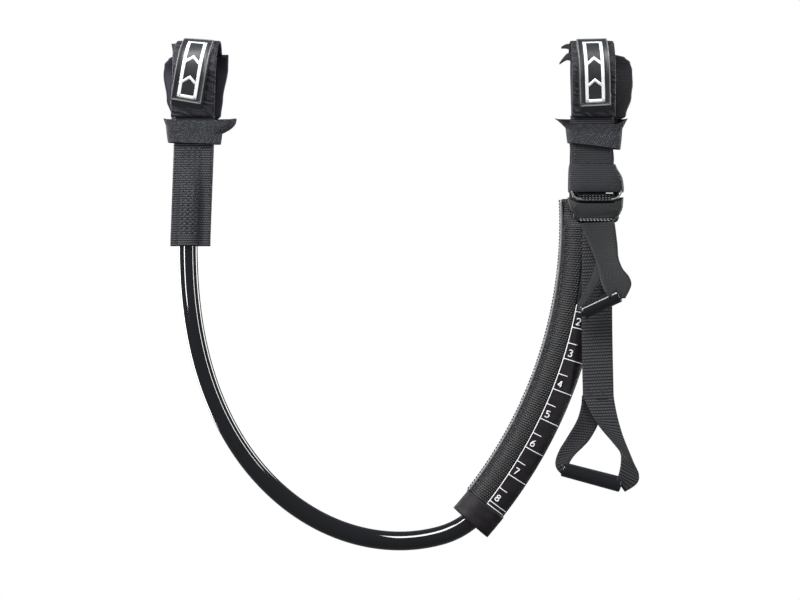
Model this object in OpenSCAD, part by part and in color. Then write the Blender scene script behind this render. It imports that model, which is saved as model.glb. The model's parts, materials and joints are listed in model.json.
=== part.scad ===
// Adjustable harness line for a windsurf boom.
// Two hook-and-loop straps close round the boom and carry a U of plastic tube, which the rider's harness
// hook rides in. A load line runs through the tube. At the right it runs up a fabric sleeve with a printed
// scale to a ladder buckle: the lower handle shortens the line, the upper handle tips the buckle and frees it.
//
// Frame: +X to the right along the boom, +Z up, +Y to the back. The origin is the middle of the boom inside
// the right-hand strap. Units are millimetres.

/* [Boom straps] */
// Radius of the boom that the straps close round
boom_r = 15; // [14.5:0.5:15.5]
// Width of the closing strap and of the grip lining
strap_w = 28; // [26:1:28]
// Widest part of the padded back
pad_w = 40; // [38:1:42]
// Angle through which each padded back reaches up behind the boom
pad_top = 34; // [28:1:38]
// Width of the rubber pull tab
badge_w = 21; // [18:1:24]

/* [Tube and load line] */
// Outside diameter of the plastic tube
tube_d = 12.3; // [11.5:0.1:12.4]
// Wall of the plastic tube
tube_wall = 2.15; // [1.8:0.05:2.3]
// Diameter of the load line inside it
line_d = 5; // [4:0.5:5.5]
// Height of the tube held inside the sewn end
tube_in = 25; // [15:1:30]

/* [Scale sleeve] */
// Radius of the bend that the sleeve and the tube share
bend_r = 295.4; // [290:0.2:300]
// Width of the sleeve across its flat
sleeve_w = 28; // [27:0.5:30]
// Thickness of the sleeve over the tube
sleeve_t = 15.4; // [15.4:0.1:16.5]
// Fabric thickness of the sleeve
sleeve_wall = 1.2; // [1:0.1:1.2]
// Distance between two numbers of the scale
scale_pitch = 21.2; // [20:0.1:21.4]

/* [Handles] */
// Outside diameter of the handle tubes
grip_d = 9; // [8.5:0.1:9.2]
// Width of the adjusting strap
tail_w = 20; // [16:1:20]

/* [Hidden] */
$fn = 64;

// Layers of a boom strap, as distances out from the boom
lining_t = 1.0;
strap_t = 1.6;
pad_t = 3.0;
badge_t = 2.0;
outer_r = boom_r + lining_t + strap_t;

// Where the two sides of a strap leave the boom and meet the sewn end
knee = [3.5, -31];
knee_len = norm(knee);
side_tilt = asin(boom_r / knee_len) - atan2(knee[0], -knee[1]);
side_len = sqrt(knee_len * knee_len - boom_r * boom_r);
tab_end = -46;
flap_end = -32.3;
flap_gap = 1.2;
badge_low = -24;
badge_from = 98;
pad_shift_right = 7;
pad_shift_left = -0.4;
pad_neck = 16;

// Keeper bands
keeper_top = -33;
keeper_h_left = 13;
keeper_h_right = 16;
keeper_w = 37;
keeper_t = 1.6;
keeper_front = -4.2;
keeper_back = 8.0;
band_corner = 2.5;

// Common bend of tube and sleeve, in the plane Y = 0, with angles measured from +X towards +Z
bend_c = [-6.3 - bend_r, -100.4];
mouth_a = -41.3;
hem_a = -38.6;
sleeve_top_a = -0.4;
free_a = -39;
travel = 5 * scale_pitch;
travel_a = travel / bend_r * 180 / PI;
tube_top_a = -1.5;
line_meet_a = tube_top_a - travel_a - 1;

// Free part of the tube: a sharp bend out of the sleeve, then a curve that opens steadily up to the sewn end
bend_turn = 35.2;
bend_len = 32;
turn_left = 180 + free_a - bend_turn;
curve_low = 0.592;
curve_high = 0.136;
curve_len = 2 * turn_left / (curve_low + curve_high);
free_len = bend_len + curve_len;
free_steps = ceil(free_len / 6);
free_ds = free_len / free_steps;
tube_sides = 16;
line_sides = 10;

function arc_point(a, r = bend_r) = [bend_c[0] + r * cos(a), bend_c[1] + r * sin(a)];
function arc_frame(a) = let (p = arc_point(a)) [p[0], p[1], a - 90];
function turned(s) =
    s < bend_len ? bend_turn * s / bend_len
                 : let (u = s - bend_len)
                   bend_turn + curve_low * u + (curve_high - curve_low) * u * u / 2 / curve_len;

// Each frame of a route is [x, z, heading], with the heading measured from +X towards +Z
function arc_route(from, to, steps) = [for (i = [0:steps]) arc_frame(from + (to - from) * i / steps)];
free_route = [
    for (i = 0, f = arc_frame(free_a); i <= free_steps;
         mid = free_a - 90 - turned((i + 0.5) * free_ds),
         f = [f[0] + free_ds * cos(mid), f[1] + free_ds * sin(mid), free_a - 90 - turned((i + 1) * free_ds)],
         i = i + 1) f
];
tube_end = free_route[free_steps];
left_x = tube_end[0];
left_strap_x = left_x + 3;
sewn_low = tube_end[1] + 1.5;
function up_frame(h) = [left_x, tube_end[1] + h, tube_end[2]];
free_tail = [for (i = [1:free_steps]) free_route[i]];
tube_route = concat(arc_route(tube_top_a, free_a, 24), free_tail, [up_frame(tube_in)]);
line_rise = tube_in + 20;
line_route = concat(arc_route(line_meet_a - 0.5, free_a, 6), free_tail, [up_frame(line_rise)]);

// Buckle and the bands round it
buckle_x = 1.3;
buckle_half = 14.5;
rail_w = 2.2;
bar_r = 2.2;
eye_w = 23.6;
bar_y = -2.6;
top_bar_z = -75;
mid_bar_z = -86;
low_bar_z = -97;
webbing_t = 1.3;
band_half = 17.9;
band_t = 1.5;
band_front = -11;
band_back = 2.85;
cover_top = -63;
cover_low = -81;
release_top = -84.5;
release_low = -99.6;

// Tail and pull handle, in planes parallel to XZ
tail_x = 2.5;
tail_back_y = -8.6;
tail_y = -10.1;
tail_t = 1.2;
tail_top = release_low - 2;
tail_knee = tail_top - 7;
tail_low = -216;
grip_wall = 1.3;
pull_y = -12.8;
pull_left = [-20.8, pull_y, -260];
pull_right = [16.9, pull_y, -270.4];
release_left = [-8.2, -22.6, -158.6];
release_right = [15, -27.2, -147.6];

// ---------------------------------------------------------------- shared shapes

// Closed skin through rings of points, each ring in the same order
module skin(rings, loop = false) {
    n = len(rings[0]);
    m = len(rings);
    points = [for (r = rings) for (p = r) p];
    spans = loop ? m : m - 1;
    walls = [
        for (k = [0:spans - 1]) for (i = [0:n - 1])
            let (a = k * n + i, b = k * n + (i + 1) % n, c = ((k + 1) % m) * n + (i + 1) % n,
                 d = ((k + 1) % m) * n + i)
            [a, b, c, d]
    ];
    caps = loop ? [] : [[for (i = [n - 1:-1:0]) i], [for (i = [0:n - 1]) (m - 1) * n + i]];
    polyhedron(points, concat(walls, caps), convexity = 10);
}

// Circle of points square to a route frame
function round_ring(f, r, n) = [
    for (i = [0:n - 1]) let (a = 360 * i / n)
        [f[0] - r * cos(a) * sin(f[2]), r * sin(a), f[1] + r * cos(a) * cos(f[2])]
];

// Flat webbing through 3D stops, each [point, direction of run, direction of width]
module ribbon(stops, w, t) {
    skin([
        for (s = stops)
            let (p = s[0], u = s[2] * w / 2 / norm(s[2]), face = cross(s[1], s[2]),
                 v = face * t / 2 / norm(face))
            [p - u - v, p - u + v, p + u + v, p + u - v]
    ]);
}

// Puts a 2D shape drawn in (Y, Z) across the boom direction, centred on x
module across(x, w) {
    translate([x - w / 2, 0, 0]) rotate([90, 0, 90]) linear_extrude(w) children();
}

// Puts a 2D shape drawn in (X, Z) through the part from front to back
module through(depth) {
    translate([0, depth / 2, 0]) rotate([90, 0, 0]) linear_extrude(depth) children();
}

// Puts a 2D shape drawn in (X, Y) upright between two heights
module upright(low, high) {
    translate([0, 0, low]) linear_extrude(high - low) children();
}

// Revolves a section, drawn with X as the radius and -Y as the depth, round the common bend's centre
module along_bend(from, to) {
    translate([bend_c[0], 0, bend_c[1]]) rotate([90, 0, 0]) rotate([0, 0, from])
        rotate_extrude(angle = to - from, $fn = 200) children();
}

// Round bar between two points
module rod(a, b, r) {
    d = b - a;
    translate(a) rotate([0, acos(d[2] / norm(d)), atan2(d[1], d[0])]) cylinder(r = r, h = norm(d));
}

// ---------------------------------------------------------------- boom straps

// Section of one layer round the boom, t0 to t1 from it, from angle "from" to "to" above the back
module arc_layer(t0, t1, from, to) {
    reach = 3 * boom_r;
    intersection() {
        difference() {
            circle(r = boom_r + t1);
            circle(r = boom_r + t0);
        }
        polygon(concat([[0, 0]], [
            for (i = [0:4]) let (a = from + (to - from) * i / 4) [reach * cos(a), reach * sin(a)]
        ]));
    }
}

// Section of one layer from the boom down its side to the knee, and on down to "low"
module side_layer(t0, t1, low) {
    step = 0.03;
    lap = 0.3;
    function off_boom(t) =
        [(boom_r + t) * cos(side_tilt) + lap * sin(side_tilt),
         lap * cos(side_tilt) - (boom_r + t) * sin(side_tilt)];
    function at_knee(t) = [knee[0] + t, knee[1] - t * tan(side_tilt / 2)];
    top = [off_boom(t0 + step), off_boom(t1 - step), at_knee(t1)];
    foot = low < knee[1] - 4 ? [[knee[0] + t1, low], [knee[0] + t0, low]] : [];
    polygon(concat(top, foot, [at_knee(t0)]));
}

module back_layer(t0, t1, to) {
    arc_layer(t0, t1, -side_tilt - 0.02, to);
    side_layer(t0, t1, tab_end);
}

module front_layer(t0, t1, from) {
    mirror([1, 0]) {
        arc_layer(t0, t1, -side_tilt - 0.02, 180 - from);
        side_layer(t0, t1, flap_end);
    }
}

module boom_lining(x) {
    color("dimgray") across(x, strap_w) back_layer(0, lining_t, 90 - flap_gap);
}

// Outline of the padded back seen from the front: round shoulders set off to one side of the strap
module pad_outline(shift) {
    half = pad_w / 2;
    corner = 6;
    polygon([[shift - half, 4], [shift - half, -8], [-pad_neck, keeper_top + 2], [-pad_neck, tab_end],
        [pad_neck, tab_end], [pad_neck, keeper_top + 2], [shift + half, -8], [shift + half, 4]]);
    for (side = [-1, 1]) translate([shift + side * (half - corner), 4]) circle(r = corner);
    translate([shift + corner - half, 0]) square([pad_w - 2 * corner, 20]);
}

module boom_pad(x, shift) {
    color([0.13, 0.12, 0.16]) intersection() {
        across(x + shift, pad_w + 12) back_layer(lining_t, lining_t + pad_t, pad_top);
        translate([x, 0, 0]) through(60) pad_outline(shift);
    }
}

module strap_root(x) {
    color([0.1, 0.1, 0.1]) across(x, strap_w)
        arc_layer(lining_t, lining_t + strap_t, pad_top + 0.3, 90 - flap_gap);
}

module closing_strap(x) {
    color([0.1, 0.1, 0.1]) across(x, strap_w) front_layer(lining_t, lining_t + strap_t, 90 + flap_gap);
}

module hook_patch(x) {
    color("dimgray") across(x, strap_w - 4) front_layer(0, lining_t, 90 + 3 * flap_gap);
}

// Moulded tab on the front of the closing strap, with a raised rim round a sunk panel
module strap_badge(x) {
    rim = 2;
    module slab(t0, t1, w, from, low) {
        intersection() {
            across(x, w) front_layer(t0, t1, from);
            translate([x - w, -40, low]) cube([2 * w, 40, 80]);
        }
    }
    t0 = lining_t + strap_t;
    color([0.16, 0.17, 0.19]) difference() {
        slab(t0, t0 + badge_t, badge_w, badge_from, badge_low);
        slab(t0 + badge_t - 0.6, t0 + badge_t + 1, badge_w - 2 * rim, badge_from + 7, badge_low + rim);
    }
}

// Section of a flat band seen from above, with corners of radius r
module rounded_band(half_w, front, back, r) {
    for (x = [r - half_w, half_w - r]) for (y = [front + r, back - r]) translate([x, y]) circle(r = r);
    translate([-half_w, front + r]) square([2 * half_w, back - front - 2 * r]);
    translate([r - half_w, front]) square([2 * (half_w - r), back - front]);
}

module keeper(x, h) {
    color([0.09, 0.09, 0.1]) translate([x, 0, 0]) upright(keeper_top - h, keeper_top) difference() {
        rounded_band(keeper_w / 2 + keeper_t, keeper_front - keeper_t, keeper_back + keeper_t,
            band_corner + keeper_t);
        rounded_band(keeper_w / 2, keeper_front, keeper_back, band_corner);
    }
}

// ---------------------------------------------------------------- sewn ends

// Two layers of webbing sewn flat above, and opened round the tube below
module left_end_webbing() {
    w = 26;
    mid_x = left_x + 1.5;
    flat_low = -62;
    color([0.08, 0.08, 0.09]) difference() {
        union() {
            translate([mid_x - w / 2, -3.1, flat_low]) cube([w, 6.2, knee[1] - 0.6 - flat_low]);
            hull() {
                translate([mid_x - w / 2, -3.1, flat_low - 0.5]) cube([w, 6.2, 0.5]);
                translate([mid_x - w / 2, -1.6, sewn_low]) cube([w, 3.2, 0.5]);
                translate([left_x, 0, sewn_low]) cylinder(r = tube_d / 2 + 1.7, h = tube_in, $fn = 32);
            }
        }
        translate([left_x, 0, sewn_low - 1]) cylinder(r = tube_d / 2 + 0.15, h = tube_in + 1);
        translate([left_x, 0, sewn_low]) cylinder(r = line_d / 2 + 0.1, h = line_rise + 1);
    }
}

// Webbing sewn in layers under the boom, thinning to one that turns round the buckle's top bar
module right_end_webbing() {
    eye_r = bar_r + 0.1;
    strip_y = [-3.6, -0.4];
    strip_top = -62;
    color([0.08, 0.08, 0.09]) {
        across(-1, 28) polygon([[-3.1, knee[1] - 0.6], [-3.1, -47], [strip_y[0], strip_top],
            [strip_y[1], strip_top], [1.5, -47], [1.5, knee[1] - 0.6]]);
        across(buckle_x, eye_w) difference() {
            union() {
                translate([strip_y[0], top_bar_z]) square([strip_y[1] - strip_y[0], strip_top - top_bar_z + 2]);
                translate([bar_y, top_bar_z]) circle(r = eye_r + strap_t);
            }
            translate([bar_y, top_bar_z]) circle(r = eye_r);
        }
    }
}

// Strap that carries the sleeve behind the buckle
module sleeve_strap() {
    stops = [[2.4, -33], [2.4, -50], [5.4, -58.5], [8.2, -66], [8.7, -76], [8.7, -98], [8.7, -112]];
    color([0.08, 0.08, 0.09]) skin([
        for (s = stops)
            [[-15, s[0] - 0.7, s[1]], [9, s[0] - 0.7, s[1]], [9, s[0] + 0.7, s[1]], [-15, s[0] + 0.7, s[1]]]
    ]);
}

// ---------------------------------------------------------------- tube and load line

module line_tube() {
    outer = [for (f = tube_route) round_ring(f, tube_d / 2, tube_sides)];
    inner = [
        for (i = [len(tube_route) - 1:-1:0]) round_ring(tube_route[i], tube_d / 2 - tube_wall, tube_sides)
    ];
    color([0.03, 0.03, 0.04]) skin(concat(outer, inner), loop = true);
}

module load_line() {
    color("gray") skin([for (f = line_route) round_ring(f, line_d / 2, line_sides)]);
}

// Run of the load line that stays in the sleeve, and is left bare there when the tube moves out
module load_line_upper() {
    color("gray") skin([
        for (f = arc_route(sleeve_top_a, line_meet_a, 10)) round_ring(f, line_d / 2, line_sides)
    ]);
}

// ---------------------------------------------------------------- scale sleeve

// Lens-shaped section of the sleeve, "inset" inside its outer face
module sleeve_lens(inset) {
    half_w = sleeve_w / 2;
    half_t = sleeve_t / 2;
    r = (half_w * half_w + half_t * half_t) / (2 * half_t);
    intersection() {
        translate([bend_r, r - half_t]) circle(r = r - inset);
        translate([bend_r, half_t - r]) circle(r = r - inset);
    }
}

module sleeve_section(grow) {
    difference() {
        sleeve_lens(-grow);
        sleeve_lens(sleeve_wall);
    }
}

module sleeve_half(side) {
    along_bend(hem_a, sleeve_top_a) intersection() {
        sleeve_section(0);
        translate([bend_r + (side < 0 ? -20 : 0), -20]) square([20, 40]);
    }
}

module sleeve_ribbed_panel() {
    color([0.12, 0.12, 0.13]) sleeve_half(-1);
}

module scale_panel() {
    color([0.14, 0.12, 0.15]) sleeve_half(1);
}

module sleeve_piping() {
    r = 1.1;
    color([0.35, 0.36, 0.38]) along_bend(hem_a, sleeve_top_a)
        translate([bend_r - sleeve_w / 2 - r - 0.05, 0]) circle(r = r);
}

module sleeve_hem() {
    color([0.15, 0.14, 0.16]) along_bend(mouth_a, hem_a - 0.01) sleeve_section(0.5);
}

// ---------------------------------------------------------------- buckle

module buckle_bar(y, z, r) {
    across(buckle_x, 2 * (buckle_half - rail_w) + 0.2) translate([y, z]) circle(r = r);
}

module ladder_buckle() {
    color([0.05, 0.05, 0.05]) {
        for (side = [-1, 1]) across(buckle_x + side * (buckle_half - rail_w / 2), rail_w) {
            translate([bar_y - bar_r, low_bar_z]) square([2 * bar_r, top_bar_z - low_bar_z]);
            translate([bar_y, top_bar_z]) circle(r = bar_r);
            translate([bar_y, low_bar_z]) circle(r = bar_r);
        }
        for (z = [top_bar_z, mid_bar_z, low_bar_z]) buckle_bar(bar_y, z, bar_r);
    }
}

module band(low, high) {
    translate([buckle_x, 0, 0]) upright(low, high) difference() {
        rounded_band(band_half, band_front, band_back, band_corner + band_t);
        rounded_band(band_half - band_t, band_front + band_t, band_back - band_t, band_corner);
    }
}

module buckle_cover_band() {
    color([0.09, 0.09, 0.1]) band(cover_low, cover_top);
}

module release_band() {
    color([0.11, 0.11, 0.12]) band(release_low, release_top);
}

// The load line's webbing where it turns over the middle bar, from the sleeve to the tail
module adjuster_turn() {
    r0 = bar_r + 0.1;
    r1 = r0 + webbing_t;
    color([0.07, 0.07, 0.08]) across(buckle_x, tail_w) {
        intersection() {
            translate([bar_y, mid_bar_z]) difference() {
                circle(r = r1);
                circle(r = r0);
            }
            translate([bar_y - 5, mid_bar_z - 0.3]) square([10, 10]);
        }
        translate([bar_y + r0 + 0.02, release_low + 1]) square([webbing_t - 0.04, mid_bar_z - release_low - 1]);
        polygon([[bar_y - r1 + 0.02, mid_bar_z], [bar_y - r0 - 0.02, mid_bar_z],
            [tail_back_y + tail_t / 2, release_low], [tail_back_y - tail_t / 2, release_low]]);
    }
}

// ---------------------------------------------------------------- tail and pull handle

// The tail's first few millimetres, from inside the release band out to the front
module tail_upper() {
    color([0.07, 0.07, 0.08]) across(tail_x, tail_w) polygon([
        [tail_back_y - tail_t / 2, tail_top], [tail_y - tail_t / 2, tail_knee],
        [tail_y + tail_t / 2, tail_knee], [tail_back_y + tail_t / 2, tail_top]
    ]);
}

module tail_webbing() {
    color([0.1, 0.1, 0.11]) translate([tail_x - tail_w / 2, tail_y - tail_t / 2, tail_low])
        cube([tail_w, tail_t, tail_knee - 0.1 - tail_low]);
}

// Leg of a handle's loop: webbing that turns from flat towards edge-on on its way to the handle tube
module leg(points, w, turn, t) {
    n = len(points) - 1;
    ribbon([
        for (i = [0:n])
            let (along = points[min(i + 1, n)] - points[max(i - 1, 0)], side = cross([0, -1, 0], along),
                 a = turn * i / n)
            [points[i], along, side / norm(side) * cos(a) + [0, -sin(a), 0]]
    ], w, t);
}

module pull_loop() {
    y = tail_y;
    color([0.1, 0.1, 0.11]) {
        leg([[-1.2, y, -216.4], [-1.2, y, -219], [-8.5, y - 0.7, -229], [-16.5, y - 1.6, -243],
            [-21.5, y - 2.4, -252.5]], 14, 20, 1.3);
        leg([[5, y, -216.4], [5, y, -219], [9, y - 0.7, -229], [14.5, y - 1.6, -243],
            [18.6, y - 2.4, -254], [20.6, pull_y, -263]], 13, -35, 1.3);
    }
}

// The loop's webbing, rolled up where it runs through a handle tube
module grip_core(a, b) {
    color([0.09, 0.09, 0.1]) rod(a, b, grip_d / 2 - grip_wall - 0.5);
}

module grip(a, b) {
    d = (b - a) / norm(b - a);
    color([0.06, 0.07, 0.08]) difference() {
        rod(a, b, grip_d / 2);
        rod(a - d, b + d, grip_d / 2 - grip_wall);
    }
}

module pull_grip() {
    grip(pull_left, pull_right);
}

module pull_loop_core() {
    d = (pull_right - pull_left) / norm(pull_right - pull_left);
    grip_core(pull_left - d * 1.2, pull_right + d * 1.2);
}

// ---------------------------------------------------------------- release handle

module release_strap() {
    color([0.12, 0.12, 0.13]) ribbon([
        [[1.6, -10.6, -102], [0, 0, -1], [1, 0, 0]],
        [[3.6, -12.8, -108.5], [0.4, -0.3, -1], [1, 0, 0]],
        [[8, -16.2, -120], [0.35, -0.3, -1], [1, 0.2, -0.2]],
        [[12, -21, -133], [0.3, -0.4, -1], [1, 0.3, -0.3]],
        [[16.6, -26, -139.5], [0.6, -0.6, -1], [1, 0.1, -0.5]],
    ], 18, 1.3);
}

module release_return() {
    color([0.1, 0.1, 0.12]) ribbon([
        [[-12.5, -20.8, -152.5], [0.4, 0.2, 1], [1, 0, 0.7]],
        [[-8.5, -19.4, -146], [0.5, 0.2, 1], [1, 0, 0.6]],
        [[-1, -17.4, -135], [0.4, 0.2, 1], [1, 0, 0.3]],
        [[3, -15.4, -124], [0.3, 0.2, 1], [1, 0, 0.1]],
    ], 10, 1);
}

module release_grip() {
    grip(release_left, release_right);
}

module release_core() {
    d = (release_right - release_left) / norm(release_right - release_left);
    grip_core(release_left - d * 1.2, release_right + d * 1.2);
}

boom_lining(0);  // right_boom_lining
boom_pad(0, pad_shift_right);  // right_boom_pad
strap_root(0);  // right_strap_root
closing_strap(0);  // right_closing_strap
hook_patch(0);  // right_hook_patch
strap_badge(0);  // right_strap_badge
keeper(0.6, keeper_h_right);  // right_keeper
right_end_webbing();
sleeve_strap();
boom_lining(left_strap_x);  // left_boom_lining
boom_pad(left_strap_x, pad_shift_left);  // left_boom_pad
strap_root(left_strap_x);  // left_strap_root
closing_strap(left_strap_x);  // left_closing_strap
hook_patch(left_strap_x);  // left_hook_patch
strap_badge(left_strap_x);  // left_strap_badge
keeper(left_strap_x + 1, keeper_h_left);  // left_keeper
left_end_webbing();
line_tube();
load_line();
load_line_upper();
sleeve_ribbed_panel();
scale_panel();
sleeve_piping();
sleeve_hem();
ladder_buckle();
buckle_cover_band();
release_band();
adjuster_turn();
tail_upper();
tail_webbing();
pull_loop();
pull_grip();
pull_loop_core();
release_strap();
release_return();
release_grip();
release_core();
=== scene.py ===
import bpy, json, math
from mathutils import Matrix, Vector, noise


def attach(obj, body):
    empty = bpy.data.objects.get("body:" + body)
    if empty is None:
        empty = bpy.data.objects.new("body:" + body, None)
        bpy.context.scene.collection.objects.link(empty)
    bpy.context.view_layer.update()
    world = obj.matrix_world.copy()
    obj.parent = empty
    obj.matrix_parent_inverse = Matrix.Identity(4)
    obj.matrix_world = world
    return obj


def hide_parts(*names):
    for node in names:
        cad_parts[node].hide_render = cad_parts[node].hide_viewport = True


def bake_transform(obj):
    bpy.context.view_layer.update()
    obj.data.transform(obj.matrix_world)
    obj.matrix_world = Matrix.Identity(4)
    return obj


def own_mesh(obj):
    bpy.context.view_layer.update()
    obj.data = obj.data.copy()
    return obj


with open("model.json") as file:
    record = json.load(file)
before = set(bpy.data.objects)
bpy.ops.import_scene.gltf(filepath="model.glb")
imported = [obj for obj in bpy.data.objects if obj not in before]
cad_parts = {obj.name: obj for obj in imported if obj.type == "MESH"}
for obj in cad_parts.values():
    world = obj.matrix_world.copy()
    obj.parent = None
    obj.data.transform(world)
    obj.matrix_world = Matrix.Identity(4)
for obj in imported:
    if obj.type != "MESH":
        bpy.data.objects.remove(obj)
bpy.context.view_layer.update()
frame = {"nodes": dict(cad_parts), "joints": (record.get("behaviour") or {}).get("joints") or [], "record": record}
JOINT = {j["name"]: j for j in frame["joints"]}
MM = 0.001
FRONT, BACK = -1, 1


def deg(a):
    return math.radians(a)


# ------------------------------------------------------------------ stage
scene = bpy.context.scene
scene.view_settings.view_transform = "Standard"
scene.view_settings.look = "None"
cam = bpy.data.cameras.new("camera")
cam.lens, cam.sensor_width = 120, 36
cam_o = bpy.data.objects.new("camera", cam)
cam_o.location = (-0.1255, -1.733, -0.1508)
cam_o.rotation_euler = (deg(90), 0, 0)
cam.clip_end = 50
scene.collection.objects.link(cam_o)
scene.camera = cam_o

world = bpy.data.worlds.new("studio")
scene.world = world
world.use_nodes = True
wt = world.node_tree
wt.nodes.clear()
w_out = wt.nodes.new("ShaderNodeOutputWorld")
w_mix = wt.nodes.new("ShaderNodeMixShader")
w_path = wt.nodes.new("ShaderNodeLightPath")
w_soft = wt.nodes.new("ShaderNodeBackground")
w_white = wt.nodes.new("ShaderNodeBackground")
w_soft.inputs[0].default_value = (0.93, 0.96, 1, 1)
w_soft.inputs[1].default_value = 0.13
w_white.inputs[1].default_value = 1.0
w_white.inputs[0].default_value = (1, 1, 1, 1)
wt.links.new(w_path.outputs["Is Camera Ray"], w_mix.inputs[0])
wt.links.new(w_soft.outputs[0], w_mix.inputs[1])
wt.links.new(w_white.outputs[0], w_mix.inputs[2])
wt.links.new(w_mix.outputs[0], w_out.inputs[0])


def lamp(name, at, aim, size, power, colour=(1, 1, 1)):
    data = bpy.data.lights.new(name, "AREA")
    data.shape, data.size, data.size_y = "RECTANGLE", size[0], size[1]
    data.energy, data.color = power, colour
    o = bpy.data.objects.new(name, data)
    o.location = at
    o.rotation_euler = (Vector(aim) - Vector(at)).to_track_quat("-Z", "Y").to_euler()
    scene.collection.objects.link(o)


MID = (-0.125, 0, -0.15)
lamp("key", (-1.1, -0.9, 0.35), MID, (0.18, 1.3), 17)
lamp("fill", (1.0, -0.7, 0.1), MID, (0.14, 1.2), 8)
lamp("top", (-0.45, -0.9, 1.0), MID, (0.9, 0.55), 22)
lamp("rim_left", (-0.9, 0.6, 0), MID, (0.3, 1.2), 10)
lamp("rim_right", (0.8, 0.6, 0), MID, (0.3, 1.2), 10)


# ------------------------------------------------------------------ materials
class Paint:
    """A procedural material whose UV map is in millimetres: U across the piece, V along it."""

    def __init__(self, name, rough=0.6, specular=0.4, sheen=0.0, coat=0.0):
        self.mat = bpy.data.materials.new(name)
        self.mat.use_nodes = True
        self.t = self.mat.node_tree
        self.b = self.t.nodes["Principled BSDF"]
        self.b.inputs["Roughness"].default_value = rough
        self.b.inputs["Specular IOR Level"].default_value = specular
        self.b.inputs["Sheen Weight"].default_value = sheen
        self.b.inputs["Coat Weight"].default_value = coat
        uv = self.t.nodes.new("ShaderNodeUVMap")
        split = self.t.nodes.new("ShaderNodeSeparateXYZ")
        self.t.links.new(uv.outputs[0], split.inputs[0])
        self.u, self.v = split.outputs[0], split.outputs[1]
        self.uv = uv.outputs[0]

    def feed(self, socket, value):
        if isinstance(value, (int, float)):
            socket.default_value = value
        else:
            self.t.links.new(value, socket)

    def m(self, op, a, b=0.0, c=0.0):
        n = self.t.nodes.new("ShaderNodeMath")
        n.operation = op
        for i, x in enumerate((a, b, c)):
            self.feed(n.inputs[i], x)
        return n.outputs[0]

    def wave(self, x, pitch, shift=0.0):
        a = self.m("MULTIPLY_ADD", x, 2 * math.pi / pitch, shift)
        return self.m("MULTIPLY_ADD", self.m("COSINE", a), 0.5, 0.5)

    def noise(self, scale=(1, 1), detail=3.0, spread=0.5):
        vec = self.t.nodes.new("ShaderNodeCombineXYZ")
        self.feed(vec.inputs[0], self.m("MULTIPLY", self.u, scale[0]))
        self.feed(vec.inputs[1], self.m("MULTIPLY", self.v, scale[1]))
        n = self.t.nodes.new("ShaderNodeTexNoise")
        n.inputs["Scale"].default_value = 1.0
        n.inputs["Detail"].default_value = detail
        n.inputs["Roughness"].default_value = spread
        self.t.links.new(vec.outputs[0], n.inputs["Vector"])
        return n.outputs["Fac"]

    def colour(self, fac, dark, light):
        mix = self.t.nodes.new("ShaderNodeMix")
        mix.data_type = "RGBA"
        self.feed(mix.inputs[0], fac)
        mix.inputs[6].default_value = (*dark, 1)
        mix.inputs[7].default_value = (*light, 1)
        self.t.links.new(mix.outputs[2], self.b.inputs["Base Color"])
        return mix.outputs[2]

    def bump(self, height, depth):
        n = self.t.nodes.new("ShaderNodeBump")
        n.inputs["Strength"].default_value = 1.0
        n.inputs["Distance"].default_value = depth * MM
        self.feed(n.inputs["Height"], height)
        self.t.links.new(n.outputs[0], self.b.inputs["Normal"])

    def rough(self, fac, low, high):
        self.feed(self.b.inputs["Roughness"], self.m("MULTIPLY_ADD", fac, high - low, low))


def webbing(name, rib, yarn, dark, light, depth=0.28, rough=0.55, wear=0.35):
    p = Paint(name, rough, 0.3, sheen=0.02)
    row = p.m("FLOOR", p.m("DIVIDE", p.v, rib))
    ribs = p.m("POWER", p.m("ABSOLUTE", p.m("SINE", p.m("MULTIPLY", p.v, math.pi / rib))), 0.7)
    shift = p.m("MULTIPLY", row, math.pi)
    yarns = p.wave(p.u, yarn)
    yarns2 = p.m("MULTIPLY_ADD", p.m("COSINE", p.m("MULTIPLY_ADD", p.u, 2 * math.pi / yarn, shift)), 0.5,
                 0.5)
    yarns = p.m("MAXIMUM", p.m("MULTIPLY", yarns, 0.4), yarns2)
    h = p.m("MULTIPLY", ribs, p.m("MULTIPLY_ADD", yarns, 0.45, 0.55))
    fuzz = p.noise((1.7, 1.7), 4, 0.6)
    # Colour follows the rib height: painted highlight on the rib crests and painted shade in the grooves between
    # them. The fuzz noise varies the tone at random.
    tone = p.m("MULTIPLY", p.m("POWER", h, 1.6), p.m("MULTIPLY_ADD", fuzz, 2 * wear, 1 - wear))
    p.colour(tone, dark, light)
    p.bump(p.m("ADD", h, p.m("MULTIPLY", fuzz, 0.2)), depth)
    return p.mat


def satin(name, dark, light, wrinkle=0.5, rough=0.45):
    p = Paint(name, rough, 0.35, sheen=0.03)
    fine = p.m("MULTIPLY", p.wave(p.v, 0.55), p.wave(p.m("ADD", p.u, p.m("MULTIPLY", p.v, 0.5)), 0.8))
    slant = p.m("ADD", p.v, p.m("MULTIPLY", p.u, -0.45))
    bend = p.noise((0.06, 0.1), 2)
    folds = p.wave(p.m("MULTIPLY_ADD", bend, 16, slant), 5.2)
    cloud = p.noise((0.3, 0.6), 3)
    # The diagonal folds are painted into the colour as well as the bump: painted sheen along the fold crests and
    # painted shade between them.
    tone = p.m("MULTIPLY_ADD", folds, 0.35, p.m("MULTIPLY_ADD", fine, 0.3, p.m("MULTIPLY", cloud, 0.45)))
    p.colour(tone, dark, light)
    p.bump(p.m("MULTIPLY_ADD", folds, wrinkle, p.m("MULTIPLY", fine, 0.12)), 0.9)
    return p.mat


def smooth_skin(name, dark, light, grain=1.2, depth=0.06, rough=0.6, sheen=0.03, specular=0.25):
    p = Paint(name, rough, specular, sheen=sheen)
    fine, cloud = p.noise((grain, grain), 5, 0.65), p.noise((0.12, 0.12), 3)
    p.colour(p.m("MULTIPLY_ADD", cloud, 0.6, p.m("MULTIPLY", fine, 0.4)), dark, light)
    p.bump(fine, depth)
    p.rough(cloud, rough - 0.08, rough + 0.1)
    return p.mat


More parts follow.
